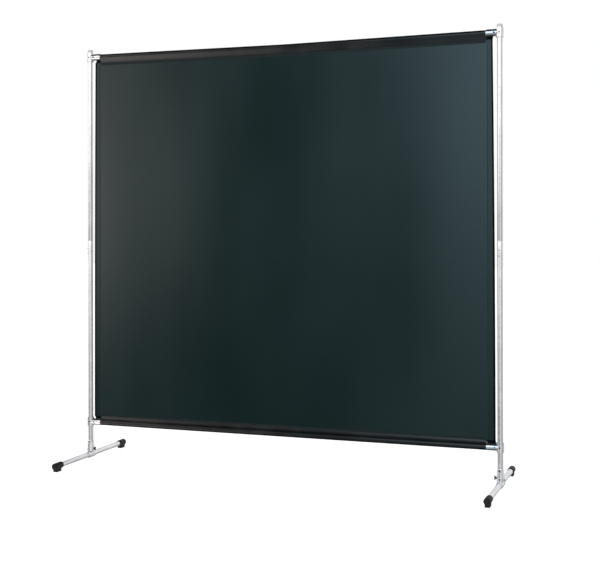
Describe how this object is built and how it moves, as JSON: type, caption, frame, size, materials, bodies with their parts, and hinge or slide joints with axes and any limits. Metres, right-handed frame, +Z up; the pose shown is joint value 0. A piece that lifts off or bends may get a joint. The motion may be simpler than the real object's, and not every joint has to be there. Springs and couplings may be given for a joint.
{
  "type": "welding curtain screen",
  "caption": "Free-standing welding screen: dark vinyl curtain hung by hems on a tube frame with turnable feet.",
  "frame": {"origin": "on the floor under the middle of the screen", "axes": "+X along the screen's width, -Y out of its front, +Z up"},
  "size_m": [2.0402, 0.66, 2],
  "materials": {
    "tube_aluminium": "satin",
    "cast_fitting": "satin",
    "zinc_steel": "satin",
    "black_steel": "satin",
    "grey_plastic": "satin",
    "black_plastic": "satin",
    "black_rubber": "matte",
    "green_vinyl": "satin",
    "hem_vinyl": "satin"
  },
  "bodies": {
    "screen": {"post_lower_left": "tube_aluminium", "post_upper_left": "tube_aluminium", "post_spigot_left": "zinc_steel", "post_rivet_left": "zinc_steel", "post_spring_left": "zinc_steel", "post_cap_left": "grey_plastic", "top_tee_left": "cast_fitting", "top_tee_left_post_screw": "zinc_steel", "top_tee_left_rail_screw": "zinc_steel", "bottom_tee_left": "cast_fitting", "bottom_tee_left_post_screw": "zinc_steel", "bottom_tee_left_rail_screw": "zinc_steel", "post_lower_right": "tube_aluminium", "post_upper_right": "tube_aluminium", "post_spigot_right": "zinc_steel", "post_rivet_right": "zinc_steel", "post_spring_right": "zinc_steel", "post_cap_right": "grey_plastic", "top_tee_right": "cast_fitting", "top_tee_right_post_screw": "zinc_steel", "top_tee_right_rail_screw": "zinc_steel", "bottom_tee_right": "cast_fitting", "bottom_tee_right_post_screw": "zinc_steel", "bottom_tee_right_rail_screw": "zinc_steel", "top_rail_left": "tube_aluminium", "top_rail_right": "tube_aluminium", "top_rail_spigot": "zinc_steel", "top_rail_rivet": "zinc_steel", "bottom_rail_left": "tube_aluminium", "bottom_rail_right": "tube_aluminium", "bottom_rail_spigot": "zinc_steel", "bottom_rail_rivet": "zinc_steel", "curtain_panel": "green_vinyl", "curtain_top_hem": "hem_vinyl", "curtain_bottom_hem": "hem_vinyl"},
    "foot_left": {"foot_clamp_left": "cast_fitting", "foot_tube_left": "tube_aluminium", "foot_cap_front_left": "black_rubber", "foot_cap_rear_left": "black_rubber", "foot_eye_screw_left": "black_steel", "foot_front_screw_left": "black_steel", "foot_saddle_screw_left": "black_steel", "foot_hex_screw_left": "zinc_steel"},
    "thumb_screw_left": {"foot_thumb_screw_left": "black_plastic"},
    "button_left": {"post_button_left": "zinc_steel"},
    "foot_right": {"foot_clamp_right": "cast_fitting", "foot_tube_right": "tube_aluminium", "foot_cap_front_right": "black_rubber", "foot_cap_rear_right": "black_rubber", "foot_eye_screw_right": "black_steel", "foot_front_screw_right": "black_steel", "foot_saddle_screw_right": "black_steel", "foot_hex_screw_right": "zinc_steel"},
    "thumb_screw_right": {"foot_thumb_screw_right": "black_plastic"},
    "button_right": {"post_button_right": "zinc_steel"}
  },
  "joints": [
    {"name": "foot_left_swivel", "type": "hinge", "parent": "screen", "child": "foot_left", "pos_m": [-1, 0, 0.0633], "axis": [0, 0, 1], "range_deg": [-90, 90]},
    {"name": "thumb_screw_left_turn", "type": "hinge", "parent": "foot_left", "child": "thumb_screw_left", "pos_m": [-0.9759, 0, 0.052], "axis": [1, 0, 0], "range_deg": [0, 540]},
    {"name": "button_left_press", "type": "slide", "parent": "screen", "child": "button_left", "axis": [0.866, 0.5, 0], "range_m": [0, 0.0046], "stiffness_N_per_m": 1500, "springref_m": -0.0015},
    {"name": "foot_right_swivel", "type": "hinge", "parent": "screen", "child": "foot_right", "pos_m": [1, 0, 0.0633], "axis": [0, 0, 1], "range_deg": [-90, 90]},
    {"name": "thumb_screw_right_turn", "type": "hinge", "parent": "foot_right", "child": "thumb_screw_right", "pos_m": [0.9759, 0, 0.052], "axis": [-1, 0, 0], "range_deg": [0, 540]},
    {"name": "button_right_press", "type": "slide", "parent": "screen", "child": "button_right", "axis": [0.1736, 0.9848, 0], "range_m": [0, 0.0046], "stiffness_N_per_m": 1500, "springref_m": -0.0015}
  ]
}
